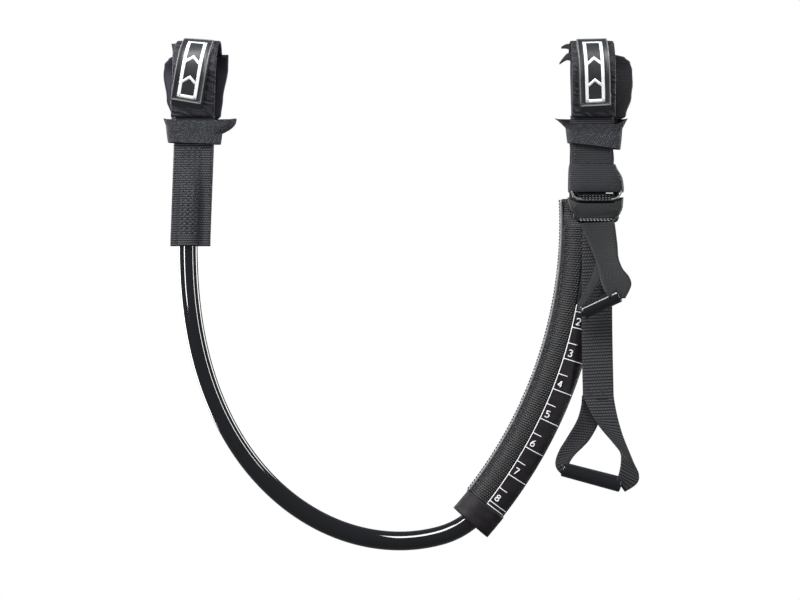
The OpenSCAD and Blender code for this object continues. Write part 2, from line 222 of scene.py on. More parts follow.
def pile(name, dark, light, column=1.15):
    """Elastic with upright ribs and loose grey pile."""
    p = Paint(name, 0.7, 0.2, sheen=0.05)
    ribs = p.m("POWER", p.wave(p.u, column), 0.8)
    knots = p.noise((0.75, 1.1), 3, 0.7)
    sharp = p.m("GREATER_THAN", knots, 0.53)
    tone = p.m("MULTIPLY", p.m("MULTIPLY_ADD", ribs, 0.7, 0.15), p.m("MULTIPLY_ADD", sharp, 0.6, 0.3))
    p.colour(tone, dark, light)
    p.bump(p.m("MULTIPLY_ADD", sharp, 0.45, ribs), 0.3)
    return p.mat


def cross_rib(name, dark, light, rib=1.5, dash=1.9):
    """Sleeve cloth: rows of short raised dashes across it."""
    p = Paint(name, 0.42, 0.4)
    rows = p.m("POWER", p.wave(p.v, rib), 1.4)
    row = p.m("FLOOR", p.m("DIVIDE", p.m("ADD", p.v, rib / 2), rib))
    dashes = p.m("MULTIPLY_ADD", p.m("COSINE", p.m("MULTIPLY_ADD", p.u, 2 * math.pi / dash,
                                                   p.m("MULTIPLY", row, 2.1))), 0.5, 0.5)
    h = p.m("MULTIPLY", rows, p.m("MULTIPLY_ADD", dashes, 0.7, 0.3))
    # The raised dashes are painted lighter than the gaps: painted highlight on the dashes and painted shade
    # between them, with noise varying the tone.
    p.colour(p.m("MULTIPLY", h, p.m("MULTIPLY_ADD", p.noise((0.8, 0.8)), 0.8, 0.4)), dark, light)
    p.bump(h, 0.4)
    return p.mat


def plastic(name, tint, rough, coat=0.0, depth=0.02, scuff=0.0):
    p = Paint(name, rough, 0.5, coat=coat)
    p.b.inputs["Coat Roughness"].default_value = 0.04
    grain, marks = p.noise((2.2, 2.2), 4, 0.6), p.noise((0.9, 0.06), 4, 0.7)
    p.colour(p.m("MULTIPLY_ADD", marks, 0.5, p.m("MULTIPLY", grain, 0.5)), [0.7 * c for c in tint],
             [1.5 * c for c in tint])
    p.bump(p.m("MULTIPLY_ADD", marks, scuff, grain), depth)
    p.rough(marks, rough * 0.85, rough * 1.35 + 0.01)
    return p.mat


def printed(name, level=0.95):
    p = Paint(name, 0.5, 0.3)
    worn = p.noise((2.0, 2.0), 4, 0.6)
    p.colour(worn, [level * 0.86] * 3, [level * 1.08] * 3)
    p.bump(worn, 0.03)
    return p.mat


def thread(name, dark, light):
    p = Paint(name, 0.55, 0.35, sheen=0.2)
    twist = p.wave(p.m("MULTIPLY_ADD", p.u, 0.6, p.v), 0.7)
    p.colour(twist, dark, light)
    p.bump(twist, 0.08)
    return p.mat


M = {
    "webbing": webbing("webbing_black", 1.5, 1.7, (0.002, 0.002, 0.003), (0.062, 0.065, 0.075), 0.4),
    "tail": webbing("webbing_tail", 2.0, 1.6, (0.003, 0.003, 0.004), (0.056, 0.058, 0.065), 0.42),
    "dark": webbing("webbing_shaded", 1.9, 1.6, (0.003, 0.003, 0.004), (0.022, 0.02, 0.027)),
    "wrap": webbing("webbing_wrap", 1.25, 1.4, (0.0015, 0.0015, 0.002), (0.038, 0.04, 0.047), 0.32),
    "release": webbing("webbing_release", 1.1, 2.4, (0.005, 0.0055, 0.006), (0.026, 0.0275, 0.029), 0.16,
                       0.5, 0.25),
    "satin": satin("strap_satin", (0.003, 0.003, 0.0045), (0.04, 0.036, 0.05)),
    "pad": smooth_skin("pad_laminate", (0.004, 0.003, 0.007), (0.017, 0.013, 0.026)),
    "pad_rib": webbing("pad_ribbed", 1.3, 1.3, (0.003, 0.003, 0.0045), (0.026, 0.026, 0.034), 0.22),
    "lining": smooth_skin("lining_grip", (0.02, 0.02, 0.022), (0.09, 0.09, 0.095), 2.5, 0.2, 0.8),
    "hook": smooth_skin("hook_tape", (0.01, 0.01, 0.01), (0.08, 0.08, 0.08), 3.0, 0.4, 0.85),
    "badge": smooth_skin("badge_rubber", (0.016, 0.019, 0.022), (0.036, 0.04, 0.045), 1.5, 0.03, 0.42, 0.0,
                         0.5),
    # Light grey rubber for rims: painted highlight along the tab's raised rim and at the buckle's slot corners.
    "rim_painted_highlight": smooth_skin("badge_rim_painted_highlight", (0.09, 0.095, 0.1), (0.26, 0.265, 0.27), 1.5, 0.03, 0.35,
                              0.0, 0.6),
    "white": printed("print_white"),
    "keeper": pile("keeper_elastic", (0.0015, 0.0015, 0.002), (0.15, 0.16, 0.185)),
    # Very dark plain face for the inside of the keeper loop: painted shade inside the loop.
    "keeper_in": smooth_skin("keeper_inside_painted_shade", (0.004, 0.004, 0.005), (0.02, 0.02, 0.022), 2.0, 0.1, 0.8),
    "tube": plastic("tube_black", (0.006, 0.0065, 0.008), 0.06, 1.0, 0.002, 0.05),
    "ribbed": cross_rib("sleeve_ribbed", (0.0006, 0.0006, 0.0008), (0.034, 0.035, 0.04)),
    "panel": smooth_skin("sleeve_print", (0.005, 0.004, 0.006), (0.02, 0.016, 0.021), 2.2, 0.1, 0.55, 0.02),
    # Light grey piping: its colour is painted highlight along the sleeve's edge, on a real piping cord.
    "piping": plastic("piping_grey", (0.2, 0.205, 0.215), 0.25, 0.5, 0.03),
    "thread": thread("thread_grey", (0.16, 0.165, 0.18), (0.5, 0.51, 0.54)),
    "thread_dark": thread("thread_dark", (0.01, 0.01, 0.012), (0.075, 0.078, 0.088)),
    "buckle": plastic("buckle_plastic", (0.022, 0.022, 0.024), 0.28, 0.2, 0.03),
    "grip": plastic("grip_tube", (0.007, 0.008, 0.01), 0.13, 0.6, 0.01, 0.5),
    "line": webbing("line_core", 2.0, 1.2, (0.1, 0.1, 0.1), (0.3, 0.3, 0.3)),
}


# ------------------------------------------------------------------ mesh tools
def build(name, verts, faces, uvs, mat, body, slot=None):
    """verts in mm; uvs holds one (u, v) in mm for each corner of each face."""
    me = bpy.data.meshes.new(name)
    me.from_pydata([Vector(p) * MM for p in verts], [], faces)
    layer = me.uv_layers.new(name="UVMap")
    k = 0
    for f in uvs:
        for c in f:
            layer.data[k].uv = c
            k += 1
    me.materials.append(M[mat])
    me.validate()
    me.polygons.foreach_set("use_smooth", [True] * len(me.polygons))
    o = bpy.data.objects.new(name, me)
    scene.collection.objects.link(o)
    if body:
        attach(o, body)
    return o


def rings(name, rows, mat, body, caps=True, closed=False, v0=0.0, **kw):
    """Skin through rings of points. Each ring runs round the piece, and the rows run along it."""
    n, verts, faces, uvs = len(rows[0]), [], [], []
    for r in rows:
        verts += [tuple(p) for p in r]
    mid = [sum((Vector(p) for p in r), Vector()) / n for r in rows]
    along = [v0]
    for a, b in zip(mid, mid[1:]):
        along.append(along[-1] + (b - a).length)
    width = []
    for r in rows:
        w = [0.0]
        for i in range(n):
            w.append(w[-1] + (Vector(r[(i + 1) % n]) - Vector(r[i])).length)
        width.append(w)
    m = len(rows)
    for k in range(m if closed else m - 1):
        k2 = (k + 1) % m
        va, vb = along[k], along[k2] if k2 else along[k] + (mid[0] - mid[k]).length
        for i in range(n):
            j = (i + 1) % n
            faces.append((k * n + i, k * n + j, k2 * n + j, k2 * n + i))
            uvs.append([(width[k][i], va), (width[k][i + 1], va), (width[k2][i + 1], vb),
                        (width[k2][i], vb)])
    if caps and not closed:
        for k, order in ((0, range(n - 1, -1, -1)), (m - 1, range(n))):
            faces.append(tuple(k * n + i for i in order))
            uvs.append([(rows[k][i][0] + rows[k][i][1], rows[k][i][2]) for i in order])
    return build(name, verts, faces, uvs, mat, body, **kw)


def smooth(stops, per=6):
    """Catmull-Rom through stops, each a tuple of numbers."""
    out, n = [], len(stops)
    for i in range(n - 1):
        a, b, c, d = (stops[max(i - 1, 0)], stops[i], stops[i + 1], stops[min(i + 2, n - 1)])
        for k in range(per):
            t = k / per
            out.append(tuple(
                0.5 * (2 * q + (r - p) * t + (2 * p - 5 * q + 4 * r - s) * t * t + (3 * q - p - 3 * r + s)
                       * t ** 3)
                for p, q, r, s in zip(a, b, c, d)))
    return out + [tuple(stops[-1])]


def band_ring(p, side, face, w, t, crown=0.0, cells=10):
    """Ring round a strap: centre p, unit directions across it and out of its front."""
    side, face, p = Vector(side).normalized(), Vector(face).normalized(), Vector(p)
    h, e, pts = w / 2 - t / 2, t / 2, []
    for i in range(cells + 1):
        a = -1 + 2 * i / cells
        pts.append(p + side * (a * h) + face * (e + crown * (1 - a * a)))
    for a in (45, 90, 135):
        pts.append(p + side * (h + e * math.sin(deg(a))) + face * (e * math.cos(deg(a))))
    for i in range(cells + 1):
        a = 1 - 2 * i / cells
        pts.append(p + side * (a * h) + face * (-e + crown * (1 - a * a)))
    for a in (225, 270, 315):
        pts.append(p + side * (-h + e * math.sin(deg(a))) + face * (e * math.cos(deg(a))))
    return pts


def edge_ribbon(name, left, right, t, mat, body, crown=0.0, **kw):
    """A strap given by its two edges, so that it can widen, narrow and turn."""
    edges = list(zip(smooth(left), smooth(right)))
    mids = [(Vector(a) + Vector(b)) / 2 for a, b in edges]
    rows = []
    for i, (a, b) in enumerate(edges):
        run = mids[min(i + 1, len(mids) - 1)] - mids[max(i - 1, 0)]
        side = Vector(b) - Vector(a)
        rows.append(band_ring(mids[i], side, side.cross(run), side.length, t, crown))
    return rings(name, rows, mat, body, **kw)


def cord_mesh(name, pts, r, mat, body, sides=8):
    rows = []
    pts = [Vector(p) for p in pts]
    ref = Vector((0, 1, 0))
    for i, p in enumerate(pts):
        run = (pts[min(i + 1, len(pts) - 1)] - pts[max(i - 1, 0)]).normalized()
        a = run.cross(ref if abs(run.dot(ref)) < 0.95 else Vector((1, 0, 0))).normalized()
        b = run.cross(a)
        rows.append([p + (a * math.cos(t) + b * math.sin(t)) * r
                     for t in [2 * math.pi * k / sides for k in range(sides)]])
    return rings(name, rows, mat, body)


def stitches(name, pts, mat, body, length=1.6, gap=1.0, r=0.22):
    """A row of separate stitches along a line of points, joined into one piece."""
    pts = [Vector(p) for p in pts]
    d = [0.0]
    for a, b in zip(pts, pts[1:]):
        d.append(d[-1] + (b - a).length)

    def at(s):
        for i in range(len(pts) - 1):
            if s <= d[i + 1]:
                f = (s - d[i]) / max(d[i + 1] - d[i], 1e-9)
                return pts[i].lerp(pts[i + 1], f)
        return pts[-1]

    verts, faces, uvs, s = [], [], [], 0.0
    while s + length <= d[-1]:
        a, b = at(s), at(s + length)
        run = (b - a).normalized()
        x = run.cross(Vector((0, 1, 0)) if abs(run.y) < 0.9 else Vector((1, 0, 0))).normalized()
        y = run.cross(x)
        base = len(verts)
        prof = [(0, 0.35), (0.2, 1), (0.5, 1.1), (0.8, 1), (1, 0.35)]
        for f, k in prof:
            for i in range(6):
                t = 2 * math.pi * i / 6
                verts.append(a.lerp(b, f) + (x * math.cos(t) + y * math.sin(t)) * r * k)
        for q in range(len(prof) - 1):
            for i in range(6):
                j = (i + 1) % 6
                faces.append((base + q * 6 + i, base + q * 6 + j, base + q * 6 + 6 + j,
                              base + q * 6 + 6 + i))
                uvs.append([(i * 0.2, q * 0.4), (i * 0.2 + 0.2, q * 0.4), (i * 0.2 + 0.2, q * 0.4 + 0.4),
                            (i * 0.2, q * 0.4 + 0.4)])
        for end in (0, len(prof) - 1):
            faces.append(tuple(base + end * 6 + i for i in (range(6) if end else range(5, -1, -1))))
            uvs.append([(0, 0)] * 6)
        s += length + gap
    return build(name, verts, faces, uvs, mat, body)


def solidify(o, t, offset=0.0):
    mod = o.modifiers.new("thickness", "SOLIDIFY")
    mod.thickness, mod.offset = t * MM, offset


# ------------------------------------------------------------------ sizes that follow part.scad
BEND = JOINT["line_length"]["pos_m"]
CX, CZ, R = BEND[0] / MM, BEND[2] / MM, 295.4
MOUNT = {m["name"]: m["pos_m"] for m in frame["record"]["mounts"]}
LEFT_X = MOUNT["boom_left"][0] / MM
TUBE_X = LEFT_X - 3
BOOM_R = 15
TAU = math.degrees(math.asin(BOOM_R / math.hypot(3.5, 31)) - math.atan2(3.5, 31))
LEG = math.sqrt(3.5 ** 2 + 31 ** 2 - BOOM_R ** 2)


def arc(a, r=R):
    return CX + r * math.cos(deg(a)), CZ + r * math.sin(deg(a))


def tube_path(step=2.0):
    out = [(*arc(a), a - 90) for a in [-1.5 - 37.5 * i / 90 for i in range(91)]]
    turn, l1, k1, k0 = 35.2, 32, 0.592, 0.136
    l2 = 2 * (180 - 39 - turn) / (k1 + k0)
    n = math.ceil((l1 + l2) / step)
    ds, (x, z, _) = (l1 + l2) / n, out[-1]

    def turned(s):
        u = s - l1
        return turn * s / l1 if u < 0 else turn + k1 * u + (k0 - k1) * u * u / 2 / l2

    for i in range(n):
        h = deg(-129 - turned((i + 0.5) * ds))
        x, z = x + ds * math.cos(h), z + ds * math.sin(h)
        out.append((x, z, -129 - turned((i + 1) * ds)))
    return out


PATH = tube_path()
END_X, END_Z = PATH[-1][0], PATH[-1][1]

# ------------------------------------------------------------------ tube and load line
tube_rows = []
for x, z, h in PATH + [(END_X, END_Z + k, -270) for k in (6, 12, 18, 25)]:
    c, s = math.cos(deg(h)), math.sin(deg(h))
    tube_rows.append([(x - 6.15 * math.cos(t) * s, 6.15 * math.sin(t), z + 6.15 * math.cos(t) * c)
                      for t in [2 * math.pi * i / 48 for i in range(48)]])
tube = rings("tube", tube_rows, "tube", "line")
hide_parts("line_tube")

for node in ("load_line", "load_line_upper"):
    n = frame["nodes"][node]
    n.data.materials.clear()
    n.data.materials.append(M["line"])


# ------------------------------------------------------------------ scale sleeve
SLEEVE_A, SLEEVE_LEAN = -0.4, 3.0           # angle where the sleeve starts to lean back, and by how much
SLEEVE_TOP_A, SLEEVE_FOOT_A, MOUTH_A = 3.1, -38.7, -41.3


def sleeve_half_t(off, a):
    """Half thickness of the sleeve, off mm outwards from its middle line, at angle a of the bend."""
    full = 7.6
    if a > SLEEVE_A:
        full = max(2.2, full - (a - SLEEVE_A) * 3.6)
    e = min(abs(off) / 14.2, 1)
    return 0.55 + (full - 0.55) * max(1 - e ** 2.3, 0) ** 0.75


def sleeve_shift(a):
    """How far the top of the sleeve leans back, behind the webbing that carries it."""
    return SLEEVE_LEAN * max(0.0, (a - SLEEVE_A) / 3.6)


def on_sleeve(a, off, lift=0.0):
    x, z = arc(a, R + off)
    return Vector((x, sleeve_shift(a) - sleeve_half_t(off, a) - lift, z))


def sleeve_strip(name, off0, off1, a0, a1, mat, cells, steps, lift=0.0, waves=0.0):
    rows = []
    for k in range(steps + 1):
        a = a0 + (a1 - a0) * k / steps
        front, rear = [], []
        for i in range(cells + 1):
            off = off0 + (off1 - off0) * i / cells
            ripple = waves * noise.noise(Vector((a * 1.3, off * 0.12, 0)))
            p = on_sleeve(a, off, lift + ripple)
            front.append(p)
            rear.append(Vector((p.x, 2 * sleeve_shift(a) - p.y, p.z)))
        rows.append(front + rear[::-1])
    return rings(name, rows, mat, "anchor")


ribbed = sleeve_strip("sleeve_ribbed_side", -13.6, -0.1, SLEEVE_TOP_A, SLEEVE_FOOT_A, "ribbed", 12, 120)
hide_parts("sleeve_ribbed_panel")
panel = sleeve_strip("sleeve_scale_side", 0.0, 13.9, SLEEVE_TOP_A, SLEEVE_FOOT_A, "panel", 12, 120, 0.12,
                     0.3)
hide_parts("scale_panel")
hem = sleeve_strip("sleeve_hem_band", -14.6, 14.6, -38.2, MOUTH_A, "panel", 24, 12, 0.7, 0.5)
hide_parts("sleeve_hem")

edge = [on_sleeve(a, -14.4) for a in [3.0 - 41.4 * i / 110 for i in range(111)]]
# The piping cord is light grey as a painted highlight along the sleeve's left edge.
piping = cord_mesh("sleeve_piping_cord", [(p.x, 0.0, p.z) for p in edge], 1.15, "piping", "anchor", 12)
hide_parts("sleeve_piping")
stitches("sleeve_edge_stitches", [(arc(a, R - 15.5)[0], -0.9, arc(a, R - 15.5)[1])
                                  for a in [3 - 41.4 * i / 110 for i in range(111)]],
         "dark", "anchor", 1.3, 0.8, 0.32)
stitches("sleeve_inner_stitches", [on_sleeve(a, -12.2, 0.1)
                                   for a in [2.6 - 40.6 * i / 90 for i in range(91)]],
         "thread_dark", "anchor", 1.5, 0.7, 0.16)
stitches("sleeve_middle_stitches", [on_sleeve(a, 0.2, 0.3)
                                    for a in [2.6 - 12.6 * i / 40 for i in range(41)]],
         "thread_dark", "anchor", 1.2, 0.9, 0.2)


def inked(name, quads):
    """Flat print on the sleeve: quads are (angle, angle, offset, offset)."""
    verts, faces, uvs = [], [], []
    for a0, a1, r0, r1 in quads:
        across = max(1, round(abs(r1 - r0) / 1.0))
        along = max(1, round(abs(a1 - a0) / 0.3))
        base = len(verts)
        for i in range(along + 1):
            for j in range(across + 1):
                off, a = r0 + (r1 - r0) * j / across, a0 + (a1 - a0) * i / along
                verts.append(on_sleeve(a, off, 0.5))
        for i in range(along):
            for j in range(across):
                q = base + i * (across + 1) + j
                faces.append((q, q + 1, q + across + 2, q + across + 1))
                uvs.append([(verts[v].x, verts[v].z) for v in faces[-1]])
    o = build(name, verts, faces, uvs, "white", "anchor", slot="sleeve_print")
    solidify(o, 0.12)
    return o


# Scale marks, as angles of the bend: the printed pitch comes out slightly under the 21.2 mm of travel.
PITCH = math.degrees(21.2 / R) * 0.982
TWO = -13.3
LINE = 0.11
quads = [(-10.4, TWO - 6 * PITCH - 0.55, -0.3, 0.3)]
for k in range(7):
    a = TWO - k * PITCH
    quads.append((a + LINE / 2, a - LINE / 2, 0.2, 13.2))
    quads.append((a + PITCH / 2 + LINE / 2, a + PITCH / 2 - LINE / 2, 0.2, 6.4))
a = TWO - 6 * PITCH - 0.5
quads.append((a + LINE / 2, a - LINE / 2, 0.2, 12.8))
inked("scale_lines", quads)

DIGITS = {
    "2": [[(0, .8), (.15, .97), (.5, 1), (.85, .95), (1, .75), (.85, .5), (0, 0), (1, 0)]],
    "3": [[(0, .88), (.3, 1), (.75, .98), (.95, .78), (.75, .55), (.4, .52)],
          [(.4, .52), (.8, .48), (1, .25), (.8, .03), (.3, 0), (0, .12)]],
    "4": [[(.75, 0), (.75, 1), (0, .32), (1, .32)]],
    "5": [[(.95, 1), (.15, 1), (.1, .55), (.5, .63), (.9, .52), (1, .28), (.8, .03), (.3, 0), (0, .1)]],
    "6": [[(.8, 1), (.3, .75), (.02, .4), (.1, .08), (.5, 0), (.9, .1), (1, .32), (.85, .53), (.45, .57),
           (.08, .38)]],
    "7": [[(0, 1), (1, 1), (.35, 0)]],
    "8": [[(.5, .53), (.12, .65), (.1, .88), (.5, 1), (.9, .88), (.88, .65), (.5, .53), (.05, .4),
           (.05, .1), (.5, 0), (.95, .1), (.95, .4), (.5, .53)]],
}
pieces = []
for k, digit in enumerate("2345678"):
    centre = TWO - k * PITCH + 0.82
    for stroke in DIGITS[digit]:
        pts = []
        for (x0, y0), (x1, y1) in zip(stroke, stroke[1:]):
            for f in range(5):
                pts.append((x0 + (x1 - x0) * f / 4, y0 + (y1 - y0) * f / 4))
        line = []
        for x, y in pts:
            off, up = 3.4 + (x - 0.5) * 2.5, (y - 0.5) * 4.2
            line.append(on_sleeve(centre + math.degrees(up / R), off, 0.55))
        pieces.append(cord_mesh("digit_%s_%d" % (digit, len(pieces)), line, 0.36, "white", None, 6))
bpy.ops.object.select_all(action="DESELECT")
for o in pieces:
    o.select_set(True)
bpy.context.view_layer.objects.active = pieces[0]
bpy.ops.object.join()
numbers = bpy.context.view_layer.objects.active
numbers.name = "scale_numbers"
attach(numbers, "anchor")


# ------------------------------------------------------------------ boom straps
def wrap(side, dist, s):
    """Point (y, z) and outward normal (y, z) on a strap, s mm round from the top and dist mm off the boom."""
    r = BOOM_R + dist
    bend = r * deg(90 + TAU)
    if s < bend:
        a = deg(90) - s / r
        return side * r * math.cos(a), r * math.sin(a), side * math.cos(a), math.sin(a)
    y, z = side * r * math.cos(deg(TAU)), -r * math.sin(deg(TAU))
    d, ny, nz = s - bend, side * math.cos(deg(TAU)), -math.sin(deg(TAU))
    leg = LEG + dist * math.tan(deg(TAU) / 2)
    if d < leg:
        return y - side * math.sin(deg(TAU)) * d, z - math.cos(deg(TAU)) * d, ny, nz
    return side * (3.5 + dist), z - math.cos(deg(TAU)) * leg - (d - leg), side, 0.0


def s_at(side, dist, z):
    """Distance round the strap at which it reaches height z on its way down."""
    s = 0.0
    while wrap(side, dist, s)[1] > z and s < 120:
        s += 0.25
    return s


def on_wrap(x, side, dist, s):
    y, z, ny, nz = wrap(side, dist, s) if s >= 0 else wrap(-side, dist, -s)
    return Vector((x, y, z)), Vector((0, ny, nz))


def strap_sheet(name, side, dist, t, s0, s1, x_left, x_right, mat, body, crown=0.0, rows=60, dome=0.0,
                **kw):
    """A layer round the boom. x_left and x_right give its edges at each distance round."""
    out = []
    for k in range(rows + 1):
        f = k / rows
        s = s0 + (s1 - s0) * f
        a, b = x_left(s), x_right(s)
        p, n = on_wrap((a + b) / 2, side, dist, s)
        end = min(f, 1 - f) * abs(s1 - s0) / max(t, 0.1)
        swell = 1 + dome * min(1.0, end / 2)
        thin = t * (0.35 + 0.65 * min(1.0, end * 1.5) ** 0.5) * swell
        out.append(band_ring(p, (1, 0, 0), n, max(b - a, 1.0), thin, crown * min(1, end)))
    return rings(name, out, mat, body, **kw)


def patch(name, x0, dist, t, z_mid, w, h, turn, mat, body, rim=None, corner=2.5):
    """A moulded slab on the front strap, turned by an angle in the strap's surface."""
    s_mid = s_at(FRONT, dist, z_mid)
    verts, faces, uvs = [], [], []
    nu, nv = 28, 56
    c, s = math.cos(deg(turn)), math.sin(deg(turn))

    def place(u, v, lift):
        uu, vv = max(-w / 2, min(w / 2, u)), max(-h / 2, min(h / 2, v))
        over_u, over_v = abs(uu) - (w / 2 - corner), abs(vv) - (h / 2 - corner)
        if over_u > 0 and over_v > 0:
            far = math.hypot(over_u, over_v)
            if far > corner:
                uu = math.copysign(w / 2 - corner + over_u * corner / far, uu)
                vv = math.copysign(h / 2 - corner + over_v * corner / far, vv)
        x = x0 + uu * c + vv * s
        p, n = on_wrap(x, FRONT, dist + lift, s_mid - vv * c + uu * s)
        return p

    def height(u, v):
        edge_d = min(w / 2 - abs(u), h / 2 - abs(v))
        up = t * min(1, (edge_d / 0.7) if edge_d < 0.7 else 1) ** 0.5 if edge_d > 0 else 0
        if rim and edge_d > rim[0]:
            up -= rim[1] * min(1, (edge_d - rim[0]) / 0.5)
        return up

    for lift in (1, 0):
        for j in range(nv + 1):
            for i in range(nu + 1):
                u, v = w * (i / nu - 0.5), h * (0.5 - j / nv)
                verts.append(place(u, v, height(u, v) if lift else -0.3))
    size = (nu + 1) * (nv + 1)
    for j in range(nv):
        for i in range(nu):
            q = j * (nu + 1) + i
            for base, order in ((0, (0, nu + 1, nu + 2, 1)), (size, (0, 1, nu + 2, nu + 1))):
                faces.append(tuple(base + q + d for d in order))
                uvs.append([((f - base) % (nu + 1) * w / nu, (f - base) // (nu + 1) * h / nv)
                            for f in faces[-1]])
    border = [(i, 0) for i in range(nu)] + [(nu, j) for j in range(nv)] + [(i, nv)
        for i in range(nu, 0, -1)] + [(0, j) for j in range(nv, 0, -1)]
    for k, (i, j) in enumerate(border):
        i2, j2 = border[(k + 1) % len(border)]
        a, b = j * (nu + 1) + i, j2 * (nu + 1) + i2
        faces.append((a, b, b + size, a + size))
        uvs.append([(k, 0), (k + 1, 0), (k + 1, t), (k, t)])
    return build(name, verts, faces, uvs, mat, body)


def unit(tag, x0, skin, root, flap, lean, badge_x, badge_h, badge_turn, pad_edges):
    """One boom strap. lean shifts the top of the closing strap, and pad_edges holds (height, x) stops."""
    half = 14

    def lean_x(s):
        return x0 + lean * (1 - max(0.0, min(1.0, s / 62)))

    # grip lining
    low = s_at(BACK, 0.5, -45.5)
    lining = strap_sheet(tag + "_lining", BACK, 0.5, 1.0, 0.4, low, lambda s: x0 - half,
                         lambda s: x0 + half, "lining", root)
    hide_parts(tag + "_boom_lining")
    # hook tape under the closing strap
    end = s_at(FRONT, 0.5, -30.5)
    hook = strap_sheet(tag + "_hook_tape", FRONT, 0.5, 0.9, 1.2, end, lambda s: x0 - 12, lambda s: x0 + 12,
                       "hook", flap)
    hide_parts(tag + "_hook_patch")
    # closing strap: one length from behind, over the top and down the front
    end = s_at(FRONT, 1.8, -32.1)
    strap = strap_sheet(tag + "_strap", FRONT, 1.8, 1.5, -16.2, end, lambda s: lean_x(s) - half,
                        lambda s: lean_x(s) + half, "satin", None, crown=0.35, rows=90)
    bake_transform(strap)
    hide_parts(tag + "_strap_root", tag + "_closing_strap")
    for k, off in enumerate((-half + 1.6, half - 1.6)):
        stitches("%s_strap_stitches_%d" % (tag, k), [on_wrap(lean_x(s) + off, FRONT, 2.62, s)[0]
                                                     for s in [4 + (end - 5) * i / 40 for i in range(41)]],
                 "thread_dark", flap, 1.3, 0.9, 0.15)
    # padded back
    low = s_at(BACK, 2.6, -45.5)
    top = deg(90 - 33) * (BOOM_R + 2.6)

    def pad_x(s, which):
        z = wrap(BACK, 2.6, s)[1]
        stops = pad_edges[which]
        for (z0, xa), (z1, xb) in zip(stops, stops[1:]):
            if z <= z0 and z >= z1:
                f = (z0 - z) / (z0 - z1)
                f = f * f * (3 - 2 * f)
                return xa + (xb - xa) * f
        return stops[0][1] if z > stops[0][0] else stops[-1][1]

    pad = strap_sheet(tag + "_pad", BACK, 2.7, 3.0, top, low, lambda s: pad_x(s, 0), lambda s: pad_x(s, 1),
                      skin, root, crown=0.15, rows=70, dome=0.1)
    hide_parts(tag + "_boom_pad")
    # raised tab with a plain chevron mark
    z_mid = -4.4 if tag == "left" else -5.6
    tab = patch(tag + "_tab", badge_x, 2.6, 2.3, z_mid, 21, badge_h, badge_turn, "badge", flap,
                rim=(1.9, 0.7), corner=2.2)
    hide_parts(tag + "_strap_badge")
    # Light grey cord just inside the tab's edge: painted highlight on its raised rim.
    rim_highlight_pts, w, h = [], 21 / 2 - 1.0, badge_h / 2 - 1.0
    c, sn = math.cos(deg(badge_turn)), math.sin(deg(badge_turn))
    sm = s_at(FRONT, 2.6, z_mid)

    def tab_point(u, v, lift):
        return on_wrap(badge_x + u * c + v * sn, FRONT, 2.6 + lift, sm - v * c + u * sn)[0]

    loop = [(-w, -h), (w, -h), (w, h), (-w, h), (-w, -h)]
    for (u0, v0), (u1, v1) in zip(loop, loop[1:]):
        for i in range(14):
            rim_highlight_pts.append(tab_point(u0 + (u1 - u0) * i / 14, v0 + (v1 - v0) * i / 14, 2.25))
    rim_highlight_pts.append(rim_highlight_pts[0])
    cord_mesh(tag + "_tab_rim_highlight", rim_highlight_pts, 0.42, "rim_painted_highlight", flap, 8)
    verts, faces, uvs = [], [], []

    def plate(poly):
        """Flat print inside the tab, as a strip of cells between two edges given bottom to top."""
        base = len(verts)
        for (ua, va), (ub, vb) in poly:
            for i in range(7):
                verts.append(tab_point(ua + (ub - ua) * i / 6, va + (vb - va) * i / 6, 1.78))
        for j in range(len(poly) - 1):
            for i in range(6):
                q = base + j * 7 + i
                faces.append((q, q + 1, q + 8, q + 7))
                uvs.append([(f % 7, f // 7) for f in faces[-1]])

    def bar(u0, u1, v0, v1):
        n = max(2, int(abs(v1 - v0) / 1.2))
        plate([((u0, v0 + (v1 - v0) * i / n), (u1, v0 + (v1 - v0) * i / n)) for i in range(n + 1)])

    pw, ph = 6.3, badge_h / 2 - 3.6
    bar(-pw, -pw + 2.1, -ph, ph)
    bar(pw - 2.1, pw, -ph, ph)
    bar(-pw, pw, ph - 1.5, ph)
    bar(-pw, pw, -ph, -ph + 2.4)
    for mid in (-ph * 0.36, ph * 0.3):
        for sgn in (-1, 1):
            plate([((sgn * (pw - 2.1), mid - 3.4 + k * 2.4), (0, mid + 0.2 + k * 2.4)) for k in (0, 1)])
    mark = build(tag + "_tab_mark", verts, faces, uvs, "white", flap, slot="badge_rubber")
    solidify(mark, 0.15)


LEFT_PAD = (
    [(9.5, LEFT_X - 10), (7.5, LEFT_X - 17), (3.5, LEFT_X - 20), (-3, LEFT_X - 20.6), (-20, LEFT_X - 18),
     (-31, LEFT_X - 14.5), (-46, LEFT_X - 13.5)],
    [(9.5, LEFT_X + 22.3), (2, LEFT_X + 22.0), (-20, LEFT_X + 19.0), (-31, LEFT_X + 18.0),
     (-34, LEFT_X + 15), (-46, LEFT_X + 14)],
)
RIGHT_PAD = (
    [(9.5, -11.5), (2, -13), (-31, -13.6), (-46, -13.5)],
    [(9.5, 16), (8.2, 22), (5, 25.6), (0, 27.0), (-9, 27.2), (-18, 26), (-31, 22.0), (-34, 16.5),
     (-46, 14.5)],
)
unit("left", LEFT_X, "pad", "line", "left_flap", 4.2, LEFT_X + 0.6, 48.5, 10.4, LEFT_PAD)
unit("right", 0, "pad_rib", "anchor", "right_flap", -1.2, -0.4, 51, -3.0, RIGHT_PAD)

# curled ends of the hook tape, left of the right strap
for k, (z0, z1, tip) in enumerate(((15.6, 11.2, (-20.4, 13.6)), (9.4, 3.8, (-21.6, 3.2)))):
    edge_ribbon("right_tape_tooth_%d" % k, [(-12, 6, z0), (-16.5, 5, z0 + 0.6), (tip[0], 4, tip[1] + 0.7)],
                [(-12, 6, z1), (-16.5, 5, z1 + 1.6), (tip[0], 4, tip[1] - 0.7)], 1.0, "hook", "anchor")


